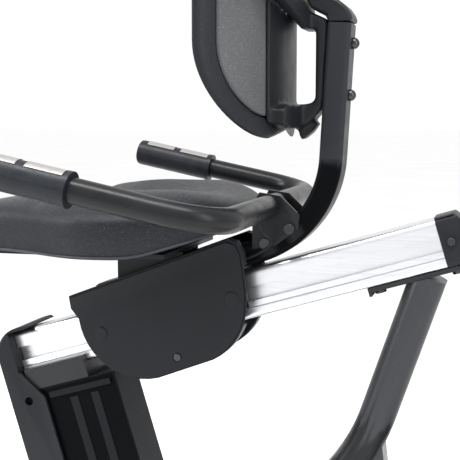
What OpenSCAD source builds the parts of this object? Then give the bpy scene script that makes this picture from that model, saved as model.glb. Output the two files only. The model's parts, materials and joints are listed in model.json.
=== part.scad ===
// Recumbent exercise bike with a sliding seat.
// +X points to the rear of the machine, +Y to the rider's right, +Z up, and Z = 0 is the floor.
// The origin is on the floor below the middle of the machine.

/* [Frame] */
// Length from the transport wheels to the rear stabilizer's end caps
overall_len = 1480; // [1460:5:1500]
// Length of each stabilizer tube, without its end caps
stabilizer_len = 510; // [440:10:530]
// Height of the centre of the spine tube above the floor
spine_z = 122; // [118:1:126]
// Radius of the rear leg's lower bend, along its centre line
leg_bend_r = 290; // [280:5:300]

/* [Seat rail] */
// Slope of the seat rail, rising to the rear, in degrees
rail_slope = 16.83; // [15:0.01:18]
// Width of the aluminium rail
rail_w = 56; // [54:1:56]
// Height of the aluminium rail
rail_h = 63; // [61:1:63]
// Height of the channel in each side of the rail, which the rollers run in
channel_h = 19; // [17:0.5:20]

/* [Seat] */
// Height above the floor of the rear end of the hand grips, the seat's datum
seat_z = 620; // [600:5:640]
// Distance of the seat's datum behind the origin
seat_x = 90; // [80:5:100]
// Width of the seat cushion
seat_w = 400; // [380:5:420]
// Height of the backrest cushion
back_h = 346; // [300:2:380]

/* [Seat handlebar] */
// Distance between the centres of the two hand grips
grip_spread = 548; // [530:2:560]
// Diameter of the handlebar tube
bar_d = 30; // [28:0.5:32]
// Diameter of a hand grip
grip_d = 40; // [38:0.5:42]
// Slope of the hand grips, rising to the front, in degrees
grip_slope = 11.83; // [10:0.01:13]

/* [Drive] */
// Length of a crank arm between its two holes
crank_len = 170; // [150:5:175]
// Rest angle of the left crank arm above the forward horizontal, in degrees
crank_rest = 60; // [50:5:75]
// Radius of the flywheel
flywheel_r = 100; // [90:1:102]
// Radius of the drive pulley on the crank axle
pulley_r = 95; // [85:1:98]

/* [Console] */
// Height of the console's tilt pin above the floor
console_z = 1090; // [1060:5:1120]
// Lean of the console's face from the vertical at rest, in degrees
console_lean = 35; // [25:1:40]

/* [Hidden] */
$fn = 64;

// Colours
steel_black = [0.13, 0.13, 0.14];
plastic_black = [0.16, 0.17, 0.19];
plastic_grey = [0.42, 0.42, 0.44];
bright = [0.78, 0.79, 0.80];

// Spine and stabilizers
spine_w = 60;
spine_h = 68;
tube_wall = 3;
stab_r = 32;
stab_z = 50;
cap_r = 36;
cap_len = 15;
wheel_r = 28;
wheel_z = 38;
wheel_y = 200;
wheel_x = -overall_len / 2 + wheel_r;
front_stab_x = wheel_x + 62;
rear_stab_x = overall_len / 2 - cap_r;
spine_top = spine_z + spine_h / 2;
foot_y = stabilizer_len / 2 - 5;

// Rail, in its own frame: s along it from the point below the seat's datum, n square to it
rail_drop = 191.75;
rail_front = -201.5;
rail_rear = 424;
rail_cap = [400, 440];
rail_bolts = [308, 409];
rail_screw_s = 413;

// Upright, in the rail's frame
upright_front = -226;
upright_rear = -66;
upright_half = 45;
post_half = 38;
saddle_low = -52;

// Carriage, in the rail's frame
roller_r = channel_h / 2 - 0.3;
roller_front = -59;
roller_rear = 130;
roller_face = 28.2;
cheek_in = 28.6;
cheek_out = 32.6;
web_low = rail_h / 2 + 0.8;
web_top = web_low + 3.5;
shaft_s = 20;
shaft_n = -54;
pin_s = shaft_s + 16;

// Seat bolts, from the seat's datum
seat_bolt_x = [-30, 38];
seat_bolt_y = [-18, 18];

// Backrest post: rectangular tube bent from the rail's slope to nearly upright
post_d = 30;
post_w = 50;
post_bend = [108.2, 35.1];
post_bend_r = 135;
post_lean = 3.1;
post_top = 197;

// Backrest: a shell curved about an upright axis ahead of it
back_axis = -96;
back_r = 280;
back_half = 185;
back_low = 54;

// Drive
crank_x = -425;
crank_z = 335;
fly_x = -560;
fly_z = 300;
small_pulley_r = 20;
belt_y0 = -24;
belt_y1 = -12;
arm_in = 72;
arm_out = 88;
pedal_in = 100;
pedal_out = 195;
pivot_x = -655;
pivot_z = 215;
housing_half = 64;
housing_wall = 3;
mast_x = -708;
mast_r = 22;
mast_top_x = -604;

// Points of an arc about c with radius r, from angle a0 to a1
function arc(c, r, a0, a1, n = 12) =
    [for (i = [0:n]) let (a = a0 + (a1 - a0) * i / n) [c[0] + r * cos(a), c[1] + r * sin(a)]];

// Outline of half a shape, x >= 0 and counter-clockwise from the bottom, closed by its mirror image
function mirrored(half) =
    concat(half, [for (i = [len(half) - 1:-1:0]) if (half[i][0] > 0.01) [-half[i][0], half[i][1]]]);

// Rectangle w by h, centred, with corners of radius r
function round_rect(w, h, r, n = 6) = concat(
    arc([w / 2 - r, -h / 2 + r], r, -90, 0, n), arc([w / 2 - r, h / 2 - r], r, 0, 90, n),
    arc([-w / 2 + r, h / 2 - r], r, 90, 180, n), arc([-w / 2 + r, -h / 2 + r], r, 180, 270, n));

// Extrude an X-Z outline along Y, from y0 to y1
module xz_plate(y0, y1) translate([0, y1, 0]) rotate([90, 0, 0]) linear_extrude(y1 - y0) children();

// Extrude a Y-Z outline along X, from x0 to x1
module along_x(x0, x1) translate([x0, 0, 0]) rotate([90, 0, 90]) linear_extrude(x1 - x0) children();

module y_rod(r, y0, y1, x = 0, z = 0) translate([x, y1, z]) rotate([90, 0, 0]) cylinder(r = r, h = y1 - y0);

module x_rod(r, x0, x1, y = 0, z = 0) translate([x0, y, z]) rotate([0, 90, 0]) cylinder(r = r, h = x1 - x0);

module z_rod(r, z0, z1, x = 0, y = 0) translate([x, y, z0]) cylinder(r = r, h = z1 - z0);

// A box between two opposite corners
module box(a, b) translate(a) cube(b - a);

module both_sides() for (side = [0, 1]) mirror([0, side, 0]) children();

// Rectangular tube section with rounded corners, hollow
module tube_section(w, h, r, wall) difference() {
    polygon(round_rect(w, h, r));
    polygon(round_rect(w - 2 * wall, h - 2 * wall, max(r - wall, 1)));
}

// Frames: the seat's datum, the rail and the console
module at_seat() translate([seat_x, 0, seat_z]) children();
module on_rail() at_seat() translate([0, 0, -rail_drop]) rotate([0, -rail_slope, 0]) children();
module on_handles() at_seat() rotate([0, grip_slope, 0]) children();
module at_console() translate([mast_top_x, 0, console_z]) rotate([0, -console_lean, 0]) children();

// ---- Base ----

module spine_tube() color(steel_black)
    translate([0, 0, spine_z]) along_x(mast_x - 24, rear_stab_x)
        tube_section(spine_w, spine_h, 14, tube_wall);

module stabilizers() color(steel_black)
    for (x = [front_stab_x, rear_stab_x]) {
        difference() {
            y_rod(stab_r, -stabilizer_len / 2, stabilizer_len / 2, x, stab_z);
            y_rod(stab_r - tube_wall, -stabilizer_len / 2 - 1, stabilizer_len / 2 + 1, x, stab_z);
            // Way in for the stem of each levelling foot
            for (y = [-foot_y, foot_y]) z_rod(5.4, 0, stab_z, rear_stab_x, y);
        }
        saddle_h = spine_z - spine_h / 2;
        difference() {
            box([x - 26, -spine_w / 2, stab_z], [x + 26, spine_w / 2, saddle_h]);
            y_rod(stab_r, -spine_w, spine_w, x, stab_z);
        }
    }

module stabilizer_caps() color(plastic_black) {
    half = stabilizer_len / 2;
    // Plugs in the two ends of the spine
    for (x = [mast_x - 27, rear_stab_x]) translate([0, 0, spine_z]) along_x(x, x + 3)
        polygon(round_rect(spine_w, spine_h, 14));
    both_sides() {
        // Front caps, each with a foot that stands on the floor
        difference() {
            union() {
                y_rod(cap_r, half - 30, half + cap_len, front_stab_x, stab_z);
                box([front_stab_x - 24, half - 30, 0], [front_stab_x + 24, half + cap_len - 3, stab_z]);
            }
            y_rod(stab_r, half - 31, half + 0.01, front_stab_x, stab_z);
        }
        // Rear caps, each bored for a levelling foot
        difference() {
            union() {
                y_rod(cap_r, half - 30, half + cap_len, rear_stab_x, stab_z);
                box([rear_stab_x - 20, half - 28, 13], [rear_stab_x + 20, half + cap_len - 3, stab_z]);
            }
            y_rod(stab_r, half - 31, half + 0.01, rear_stab_x, stab_z);
            z_rod(5.4, 0, stab_z, rear_stab_x, foot_y);
        }
        // Fork plates of the transport wheels
        for (y = [wheel_y - 18, wheel_y + 14])
            difference() {
                union() {
                    box([wheel_x, y, wheel_z - 8], [front_stab_x, y + 4, wheel_z + 8]);
                    y_rod(8, y, y + 4, wheel_x, wheel_z);
                }
                y_rod(5, y - 1, y + 5, wheel_x, wheel_z);
                y_rod(stab_r, y - 1, y + 5, front_stab_x, stab_z);
            }
    }
}

module transport_wheel(side) color([0.2, 0.2, 0.21]) translate([0, side * wheel_y, 0])
    difference() {
        union() {
            y_rod(wheel_r, -9, 9, wheel_x, wheel_z);
            y_rod(11, -13, 13, wheel_x, wheel_z);
        }
        y_rod(5.06, -14, 14, wheel_x, wheel_z);
    }
module wheel_left() transport_wheel(-1);
module wheel_right() transport_wheel(1);

module levelling_foot(side) color(plastic_black) translate([rear_stab_x, side * foot_y, 0]) {
    z_rod(22, 0, 6);
    z_rod(17, 6, 12);
    z_rod(5, 12, stab_z - stab_r + 8);
}
module foot_left() levelling_foot(-1);
module foot_right() levelling_foot(1);

// ---- Rear leg ----

leg_lean = 71.5;
leg_foot = [307.3, -300];
leg_len = 190.3;
leg_d = 47;
leg_w = 58;

module leg_section() polygon(round_rect(leg_d, leg_w, 20, 8));

module rear_leg() color(steel_black) difference() {
    at_seat() {
        // Straight upper part, up to the rail's rear mount
        translate([leg_foot[0], 0, leg_foot[1]]) rotate([0, 90 - leg_lean, 0])
            translate([0, 0, -0.5]) linear_extrude(leg_len + 0.5) leg_section();
        // Bend that carries it forward to the spine
        translate([leg_foot[0] - leg_bend_r * sin(leg_lean), 0, leg_foot[1] + leg_bend_r * cos(leg_lean)])
            rotate([90, 0, 0]) rotate([0, 0, leg_lean - 90 - 55])
                rotate_extrude(angle = 55) translate([leg_bend_r, 0]) leg_section();
        // Gusset behind the bend
        xz_plate(-20, 20) polygon([[270, -330], [314, -343], [330, -470], [200, -470]]);
    }
    // Trimmed to the top of the spine, and to the underside of the rail's rear mount
    box([-400, -100, -100], [overall_len, 100, spine_top]);
    on_rail() box([200, -100, -rail_h / 2 - 6], [600, 100, 100]);
}

// ---- Upright ----

module above_spine() intersection() {
    children();
    box([-600, -200, spine_top], [600, 200, 1200]);
}

module upright_post() color([0.09, 0.09, 0.1]) above_spine() on_rail() {
    difference() {
        box([upright_front + 6, -post_half, -340], [upright_rear, post_half, saddle_low]);
        box([upright_front + 10, -post_half + 4, -341], [upright_rear - 4, post_half - 4, saddle_low - 5]);
    }
    // Lip below the rail's saddle and pressed ribs on the rear wall
    both_sides() {
        box([-168, post_half, -68], [-74, post_half + 4, -60]);
        for (s = [-140, -108]) box([s, post_half, -330], [s + 12, post_half + 1.5, -74]);
    }
}

module upright_cover() color(plastic_black) above_spine() on_rail() {
    hood_r = 38;
    difference() {
        xz_plate(-upright_half, upright_half) polygon(concat([[upright_front, -330], [-174, -330],
            [-174, -64], [-200, -24], [-202, -24], [-202, 33.5], [-172, 33.5], [-172, 35], [-176, 38]],
            arc([upright_front + hood_r, 0], hood_r, 90, 180, 10)));
        // Hollow behind the front wall
        box([upright_front + 5.5, -post_half - 2.3, -331], [0, post_half + 2.3, -23.9]);
        // Bolt hole in each side
        y_rod(6, -60, 60, -199, -65);
    }
}

// ---- Rail ----

module rail_profile() {
    w = rail_w / 2;
    h = rail_h / 2;
    c = channel_h / 2;
    difference() {
        polygon(mirrored(concat([[0, -h]], arc([w - 6, -h + 6], 6, -90, 0, 5),
            [[w, -20], [w - 2, -18.5], [w, -17], [w, -c], [w - 8, -c], [w - 8, c], [w, c]],
            arc([w - 7.5, h - 7.5], 7.5, 0, 90, 6), [[0, h]])));
        polygon(round_rect(28, rail_h - 11, 3));
    }
}

module seat_rail() color(bright) on_rail() difference() {
    along_x(rail_front, rail_rear) rail_profile();
    for (s = rail_bolts) translate([s, 0, 0]) z_rod(4, -40, -20);
}

module rail_end_cap() color(plastic_black) on_rail() {
    difference() {
        along_x(rail_cap[0], rail_cap[1]) polygon(round_rect(rail_w + 4, rail_h + 4, 9));
        // Sleeve around the rail's sides and top, open below
        box([rail_cap[0] - 1, -rail_w / 2, -rail_h], [rail_rear, rail_w / 2, rail_h / 2]);
        box([rail_cap[0] - 1, -50, -rail_h], [rail_cap[1] + 1, 50, -rail_h / 2]);
        both_sides() y_rod(2.5, 15, 40, rail_screw_s, 0);
        // Slanted end face
        translate([rail_cap[1], -50, 12]) rotate([0, -35, 0]) cube([60, 100, 60]);
    }
    along_x(rail_rear - 10, rail_rear) polygon(round_rect(27.6, rail_h - 11.4, 2.8));
}

module rail_mounts() color(steel_black) on_rail() {
    // Front saddle, a channel that the rail lies in
    difference() {
        box([-196, -40, saddle_low], [-104, 40, -22]);
        box([-197, -rail_w / 2, -rail_h / 2], [-103, rail_w / 2, 0]);
        translate([-104, -41, -30]) rotate([0, 45, 0]) cube([12, 82, 12]);
    }
    // Rear plate, on top of the rear leg
    difference() {
        union() {
            box([296, -26, -rail_h / 2 - 6], [418, 26, -rail_h / 2]);
            box([296, -26, -rail_h / 2 - 11], [300, 26, -rail_h / 2 - 6]);
        }
        for (s = rail_bolts) translate([s, 0, 0]) z_rod(4, -60, -20);
    }
}

module frame_bolts() color([0.3, 0.3, 0.31]) on_rail() {
    // Bolts up through the rear plate into the rail
    for (s = rail_bolts) translate([s, 0, 0]) {
        z_rod(4, -rail_h / 2 - 6, -rail_h / 2 + 5);
        z_rod(7.5, -rail_h / 2 - 12, -rail_h / 2 - 6);
    }
    // Screws of the rear end cap
    both_sides() {
        y_rod(2.5, rail_w / 2 - 7.8, rail_w / 2 + 2, rail_screw_s, 0);
        y_rod(5, rail_w / 2 + 2, rail_w / 2 + 4.5, rail_screw_s, 0);
    }
}

// ---- Drive ----

module drive_frame() color(steel_black) {
    // Sole plate on the spine
    box([-600, -34, spine_top], [-380, 42, spine_top + 4]);
    // Left plate: carries the flywheel's axle
    difference() {
        union() {
            box([fly_x - 25, -34, spine_top + 4], [fly_x + 25, -30, fly_z]);
            y_rod(25, -34, -30, fly_x, fly_z);
        }
        y_rod(8, -35, -29, fly_x, fly_z);
    }
    // Right plate: carries the flywheel's axle, the magnet arm's pin and the crank's shell
    difference() {
        union() {
            xz_plate(38, 42) polygon([[-675, 200], [-600, spine_top + 1], [-380, spine_top + 1],
                [crank_x + 34, crank_z], [crank_x - 20, crank_z + 30], [fly_x - 20, fly_z + 26], [-675, 228]]);
            y_rod(34, 38, 42, crank_x, crank_z);
        }
        y_rod(8, 37, 43, fly_x, fly_z);
        y_rod(5, 37, 43, pivot_x, pivot_z);
        y_rod(20, 37, 43, crank_x, crank_z);
    }
    // Bottom bracket shell and its inner plate
    difference() {
        union() {
            y_rod(24, -8, 38, crank_x, crank_z);
            box([crank_x - 18, -8, spine_top + 4], [crank_x + 18, -4, crank_z]);
        }
        y_rod(20, -9, 39, crank_x, crank_z);
    }
}

module crank_bearings() color(bright)
    for (y = [-7, 28]) difference() {
        y_rod(20, y, y + 10, crank_x, crank_z);
        y_rod(10.05, y - 1, y + 11, crank_x, crank_z);
    }

// Side outline of the housing, drawn in by g
function housing_outline(g) = concat(
    arc([-425, 322], 132 - g, -62, 66, 16),
    arc([-655, 432], 82 - g, 84, 180, 12),
    arc([-683, 172], 54 - g, 180, 262, 10));

module housing_half_shell() difference() {
    union() {
        xz_plate(0.15, housing_half - 4) polygon(housing_outline(0));
        xz_plate(housing_half - 4, housing_half) polygon(housing_outline(4));
    }
    xz_plate(-1, housing_half - housing_wall) polygon(housing_outline(housing_wall));
    // Hole for the crank axle
    y_rod(15, 50, 70, crank_x, crank_z);
    // Notch over the spine, and the mast's way out of the top
    box([-800, -1, 0], [-300, spine_w / 2 + 1.5, spine_top + 1]);
    translate([mast_x, 0, spine_top]) rotate([0, mast_lean, 0]) z_rod(mast_r + 1, 0, 500);
    // Open bottom around the drive's frame
    box([-620, -1, 100], [-370, 46, 212]);
    // Louvre slots in the side
    for (i = [0:4]) box([-690 + i * 3, housing_half - 10, 360 + i * 14], [-600 + i * 3, 70, 365 + i * 14]);
}

mast_lean = atan2(mast_top_x - mast_x, console_z - 40 - spine_top);
mast_len = norm([mast_top_x - mast_x, console_z - 40 - spine_top]);

module housing_right() color(plastic_black) housing_half_shell();
module housing_left() color(plastic_black) mirror([0, 1, 0]) housing_half_shell();

module fixed_axles() color(bright) {
    difference() {
        y_rod(8, -36, 44, fly_x, fly_z);
        y_rod(3, -37, -28, fly_x, fly_z);
    }
    y_rod(5, -2, 44, pivot_x, pivot_z);
    both_sides() y_rod(5, wheel_y - 20, wheel_y + 20, wheel_x, wheel_z);
}

belt_dir = atan2(fly_z - crank_z, fly_x - crank_x) + 360;
belt_span = norm([fly_z - crank_z, fly_x - crank_x]);
belt_wrap = acos((pulley_r - small_pulley_r) / belt_span);

function belt_outline(g) = concat(
    arc([crank_x, crank_z], pulley_r + g, belt_dir + belt_wrap, belt_dir - belt_wrap + 360, 48),
    arc([fly_x, fly_z], small_pulley_r + g, belt_dir - belt_wrap, belt_dir + belt_wrap, 20));

module drive_belt() color([0.1, 0.1, 0.1]) xz_plate(belt_y0 + 1, belt_y1 - 1) difference() {
    polygon(belt_outline(3.5));
    polygon(belt_outline(0.6));
}

module crank_axle() color(bright) y_rod(10, -arm_out, arm_out, crank_x, crank_z);

module drive_pulley() color(plastic_grey) difference() {
    union() {
        y_rod(pulley_r, belt_y0, belt_y1, crank_x, crank_z);
        y_rod(24, belt_y0, -8.5, crank_x, crank_z);
    }
    y_rod(10, -30, 0, crank_x, crank_z);
    // Lightening holes
    for (i = [0:5]) y_rod(18, -30, 0, crank_x + 60 * cos(i * 60), crank_z + 60 * sin(i * 60));
}

// Turns a part drawn pointing forward (-X) from the crank axle to its crank arm's rest angle
module at_crank(side) translate([crank_x, 0, crank_z])
    rotate([0, side < 0 ? crank_rest : crank_rest + 180, 0]) children();

module crank_arm() color([0.2, 0.2, 0.21]) difference() {
    union() {
        y_rod(19, arm_in, arm_out, 0, 0);
        y_rod(14, arm_in, arm_out, -crank_len, 0);
        xz_plate(arm_in + 2, arm_out - 1) polygon([[0, -17], [0, 17], [-crank_len, 12], [-crank_len, -12]]);
        y_rod(13, arm_out, arm_out + 3, 0, 0);
    }
    y_rod(10, arm_in - 1, arm_out, 0, 0);
    y_rod(7, arm_in - 1, arm_out + 4, -crank_len, 0);
}
module crank_arm_left() mirror([0, 1, 0]) at_crank(-1) crank_arm();
module crank_arm_right() at_crank(1) crank_arm();

function pedal_angle(side) = side < 0 ? crank_rest : crank_rest + 180;
function pedal_x(side) = crank_x - crank_len * cos(pedal_angle(side));
function pedal_z(side) = crank_z + crank_len * sin(pedal_angle(side));

module at_pedal(side) translate([pedal_x(side), 0, pedal_z(side)]) mirror([0, side < 0 ? 1 : 0, 0]) children();

module pedal_spindles() color(bright) for (side = [-1, 1]) at_pedal(side) {
    y_rod(7, arm_in, arm_out + 2, 0, 0);
    y_rod(6, arm_out + 2, pedal_out - 8, 0, 0);
}

module pedal() color(plastic_black) difference() {
    union() {
        y_rod(13, pedal_in, pedal_out, 0, 0);
        xz_plate(pedal_in, pedal_in + 8) polygon(round_rect(96, 24, 10));
        xz_plate(pedal_out - 8, pedal_out) polygon(round_rect(96, 24, 10));
        for (x = [-46, 30]) box([x, pedal_in, -10], [x + 16, pedal_out, 10]);
        box([-40, pedal_in + 40, -7], [40, pedal_in + 52, 7]);
    }
    y_rod(6.06, pedal_in - 1, pedal_out - 7, 0, 0);
}
module pedal_left() at_pedal(-1) pedal();
module pedal_right() at_pedal(1) pedal();

// Outline of the foot strap, drawn out by g from its inside
strap_reach = (pedal_out - pedal_in) / 2 + 2.4;
function strap_line(g) = mirrored(concat([[0, -9]], [[strap_reach + g, -9]],
    arc([strap_reach - 22, 34], 22 + g, 0, 55, 6), [[0, 62 + g]]));

// Foot strap: a band that arches over the pedal and goes down outside its two ends
module strap() color([0.22, 0.22, 0.23]) difference() {
    translate([0, (pedal_in + pedal_out) / 2, 0]) along_x(-20, 20) difference() {
        polygon(strap_line(2.2));
        polygon(strap_line(0));
        translate([-strap_reach, -10]) square([2 * strap_reach, 2]);
    }
    // Slot around the spindle
    box([-8.5, pedal_in - 8, -12], [8.5, pedal_in - 1, 9]);
}
module strap_left() at_pedal(-1) strap();
module strap_right() at_pedal(1) strap();

module flywheel() color([0.35, 0.35, 0.36]) difference() {
    union() {
        difference() {
            y_rod(flywheel_r, 8, 32, fly_x, fly_z);
            for (y = [7, 25]) difference() {
                y_rod(flywheel_r - 18, y, y + 8, fly_x, fly_z);
                y_rod(26, y, y + 8, fly_x, fly_z);
            }
        }
        y_rod(18, -28, 36, fly_x, fly_z);
        y_rod(small_pulley_r, belt_y0, belt_y1, fly_x, fly_z);
        y_rod(small_pulley_r + 4, belt_y0 - 2, belt_y0, fly_x, fly_z);
        y_rod(small_pulley_r + 4, belt_y1, belt_y1 + 2, fly_x, fly_z);
    }
    y_rod(8.06, -40, 40, fly_x, fly_z);
}

// Magnet arm: a curved plate that hangs from its pin, just outside the flywheel's rim
module magnet_arm() color(bright) difference() {
    union() {
        xz_plate(6, 34) polygon(concat(arc([fly_x, fly_z], flywheel_r + 10, 214, 262, 14),
            arc([fly_x, fly_z], flywheel_r + 4, 262, 214, 14)));
        xz_plate(8, 32) polygon([[pivot_x - 9, pivot_z - 8], [pivot_x + 4, pivot_z - 12],
            [pivot_x + 22, pivot_z + 3], [pivot_x + 8, pivot_z + 18], [pivot_x - 4, pivot_z + 10]]);
        y_rod(10, 4, 36, pivot_x, pivot_z);
    }
    y_rod(5.06, 0, 40, pivot_x, pivot_z);
    y_rod(flywheel_r + 4, 0, 40, fly_x, fly_z);
}

module tension_motor() color(plastic_grey) {
    box([-650, -32, spine_top], [-600, 0, spine_top + 30]);
    y_rod(12, -26, -6, -612, spine_top + 34);
}

// ---- Console and front handlebar ----

module console_mast() color(steel_black) {
    difference() {
        translate([mast_x, 0, spine_top]) rotate([0, mast_lean, 0]) difference() {
            z_rod(mast_r, -5, mast_len - 8);
            z_rod(mast_r - tube_wall, -6, mast_len - 12);
        }
        // Cut level to stand on the spine
        box([mast_x - 60, -60, spine_top - 30], [mast_x + 60, 60, spine_top]);
    }
    // Foot plate on the spine, and the yoke that carries the console's tilt pin
    translate([mast_x, 0, spine_top]) box([-20, -29, 0], [40, 29, 5]);
    translate([mast_top_x, 0, console_z]) {
        for (y = [-20, 16]) difference() {
            union() {
                y_rod(11, y, y + 4);
                box([-11, y, -50], [11, y + 4, 0]);
            }
            y_rod(5, y - 1, y + 5);
        }
        y_rod(5, -22, 22);
        box([-14, -20, -54], [14, 20, -48]);
    }
}

handlebar_drop = 150;
handlebar_reach = 190;
handlebar_half = 190;
handlebar_bend = 60;
handlebar_slope = 20;

// Frame of the front handlebar: its cross tube on the mast, +X along the grips to the rider
module at_handlebar() translate([mast_top_x - handlebar_drop * tan(mast_lean) + mast_r + 16, 0,
    console_z - 40 - handlebar_drop]) rotate([0, -handlebar_slope, 0]) children();

module front_handlebar() color(steel_black) {
    at_handlebar() {
        y_rod(14, -handlebar_half + handlebar_bend, handlebar_half - handlebar_bend);
        both_sides() {
            x_rod(14, handlebar_bend, handlebar_reach, handlebar_half, 0);
            translate([handlebar_bend, handlebar_half - handlebar_bend, 0]) rotate([0, 0, 90])
                rotate_extrude(angle = 90) translate([handlebar_bend, 0]) circle(14);
        }
    }
    // Clamp on the mast
    translate([mast_top_x - handlebar_drop * tan(mast_lean), 0, console_z - 40 - handlebar_drop])
        difference() {
            box([-30, -28, -24], [mast_r + 12, 28, 24]);
            rotate([0, mast_lean, 0]) z_rod(mast_r + 0.01, -60, 60);
        }
}

module front_grips() color([0.12, 0.12, 0.13]) at_handlebar() both_sides()
    difference() {
        union() {
            x_rod(18, handlebar_bend + 10, handlebar_reach + 6, handlebar_half, 0);
            x_rod(19.5, handlebar_reach - 6, handlebar_reach + 6, handlebar_half, 0);
        }
        x_rod(14, handlebar_bend, handlebar_reach, handlebar_half, 0);
    }

console_w = 250;
console_h = 170;
console_d = 42;
button_y = [-48, 0, 48];
button_r = 11;
button_h = 7;
button_low = -62;

// The console is drawn with its face square to +X and its tilt pin at the origin
module console_shell() color(plastic_black) at_console() {
    difference() {
        union() {
            along_x(16, 16 + console_d - 8) polygon([for (p = round_rect(console_w, console_h, 26)) p + [0, 8]]);
            along_x(16 + console_d - 8, 16 + console_d)
                polygon([for (p = round_rect(console_w - 10, console_h - 10, 22)) p + [0, 8]]);
        }
        // Recess of the screen
        box([16 + console_d - 4, -92, -26], [80, 92, 76]);
        // Hollow inside, and the holes of the buttons
        box([20, -112, -64], [16 + console_d - 8, 112, 80]);
        for (y = button_y) x_rod(button_r + 0.5, 30, 80, y, button_low + 14);
    }
    // Ear between the two plates of the mast's yoke
    difference() {
        union() {
            y_rod(11, -15.5, 15.5);
            box([0, -15.5, -9], [16.5, 15.5, 9]);
        }
        y_rod(5.06, -20, 20);
    }
}

module console_screen() color([0.1, 0.16, 0.2]) at_console()
    box([16 + console_d - 4, -91.7, -25.7], [16 + console_d - 1, 91.7, 75.7]);

module console_button(y) color(plastic_grey) at_console() {
    x_rod(button_r, 24, 16 + console_d + 3, y, button_low + 14);
}
module button_start() console_button(button_y[1]);
module button_up() console_button(button_y[2]);
module button_down() console_button(button_y[0]);

// ---- Carriage ----

module carriage_frame() color(steel_black) {
    on_rail() difference() {
        union() {
            // Saddle over the rail: a web with a cheek down each side
            box([-86, -cheek_out, web_low], [142, cheek_out, web_top]);
            both_sides() {
                box([-78, cheek_in, -16], [142, cheek_out, web_low]);
                xz_plate(cheek_in, cheek_out) polygon(arc([-78, 2], 15, 90, 270, 8));
                box([-5, cheek_in, -68], [46, cheek_out, -16]);
            }
        }
        // Axle holes of the rollers, and bearings of the seat lever's shaft
        for (s = [roller_front, roller_rear]) y_rod(4, -50, 50, s, 0);
        y_rod(6.06, -50, 50, shaft_s, shaft_n);
    }
    // Two brackets and a top plate that carry the seat
    at_seat() {
        both_sides() xz_plate(post_w / 2 + 0.2, post_w / 2 + 4.2)
            polygon([[-44, -168.8], [50, -140.4], [50, -98], [-44, -98]]);
        difference() {
            box([-44, -35, -100], [50, 35, -96]);
            for (x = seat_bolt_x, y = seat_bolt_y) z_rod(4, -101, -95, x, y);
        }
    }
}

// Side outline of a cover in the rail's frame, drawn in by g
function cover_outline(g) = concat(
    [[-90 + g, 62 - g], [-92 + g, 45]],
    arc([4, 16], 90 - g, 172, 268, 12),
    arc([68, 12], 81 - g, 280, 346, 8),
    [[151 - g, 5], [159 - g, 56], [156 - g, 71 - g], [147 - g, 78 - g]]);

cover_out = 60;

module cover() on_rail() difference() {
    union() {
        xz_plate(37, cover_out - 3) polygon(cover_outline(0));
        xz_plate(cover_out - 3, cover_out) polygon(cover_outline(3));
        // Bosses over the roller axles
        for (s = [roller_front, roller_rear]) y_rod(9, cover_out - 1, cover_out + 1.5, s, 3);
    }
    xz_plate(30, cover_out - 3) polygon(cover_outline(3));
    // The rail's way through the rim, front and rear
    box([-120, 30, -rail_h / 2 - 3], [200, 56, rail_h / 2 + 8]);
    // Counterbored hole of the fixing screw
    y_rod(2.6, 40, 70, 36, -53);
    y_rod(6, cover_out - 1.5, 70, 36, -53);
}

// Turned-in tab behind each cover's screw
module cover_tab() on_rail() difference() {
    y_rod(7, cheek_out, cover_out - 3, 36, -53);
    y_rod(2.6, 30, 70, 36, -53);
}

module cover_left() color(plastic_black) mirror([0, 1, 0]) {
    cover();
    cover_tab();
}

module cover_right() color(plastic_black) {
    difference() {
        cover();
        on_rail() y_rod(8, 30, 70, shaft_s, shaft_n);
    }
    cover_tab();
}

module roller_pair(s) color([0.5, 0.5, 0.5]) on_rail() both_sides() difference() {
    y_rod(roller_r, rail_w / 2 - 7.6, roller_face, s, 0);
    y_rod(4.06, 0, 40, s, 0);
}
module front_rollers() roller_pair(roller_front);
module rear_rollers() roller_pair(roller_rear);

module roller_axles() color(bright) on_rail() both_sides()
    for (s = [roller_front, roller_rear]) {
        y_rod(4, rail_w / 2 - 7.4, cheek_out, s, 0);
        y_rod(7, cheek_out, cheek_out + 4.5, s, 0);
    }

// Brake shoe under the rail, pulled down by the lever's crank through two slotted lugs
module lock_shoe() color([0.25, 0.22, 0.2]) on_rail() {
    box([-4, -24, -38], [45, 24, -rail_h / 2 - 0.4]);
    for (y = [-12, 7]) difference() {
        box([pin_s - 7.5, y, -64], [pin_s + 6.5, y + 5, -38]);
        box([pin_s - 5.1, y - 1, shaft_n - 3.3], [pin_s + 3.4, y + 6, shaft_n + 3.3]);
    }
}

module seat_lever() color(steel_black) {
    on_rail() {
        y_rod(6, -40, 108, shaft_s, shaft_n);
        // Crank and pin that work the brake shoe
        box([shaft_s, -6.5, shaft_n - 4], [pin_s, 6.5, shaft_n + 4]);
        y_rod(2.8, -13, 13, pin_s, shaft_n);
        y_rod(11, 66, 78, shaft_s, shaft_n);
    }
    // Arm out from under the seat to the grip at its right edge
    lever_x = shaft_s * cos(rail_slope) - shaft_n * sin(rail_slope);
    lever_z = -rail_drop + shaft_s * sin(rail_slope) + shaft_n * cos(rail_slope);
    at_seat() translate([lever_x, 0, lever_z]) {
        rotate([0, 20, 0]) box([-128, 92, -5], [0, 108, 5]);
        rotate([0, 20, 0]) {
            y_rod(7, 92, 178, -128, 0);
            y_rod(12, 122, 182, -128, 0);
        }
    }
}

// ---- Seat ----

module seat_base() color([0.12, 0.12, 0.13]) at_seat() difference() {
    box([-240, -110, -96], [50, 110, -90]);
    // Sockets of the four seat bolts
    for (x = seat_bolt_x, y = seat_bolt_y) z_rod(4, -97, -80, x, y);
    for (y = [-110, 110]) translate([-240, y, -97]) rotate([0, 0, 45]) translate([-35, -35, 0]) cube([70, 70, 8]);
}

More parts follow.
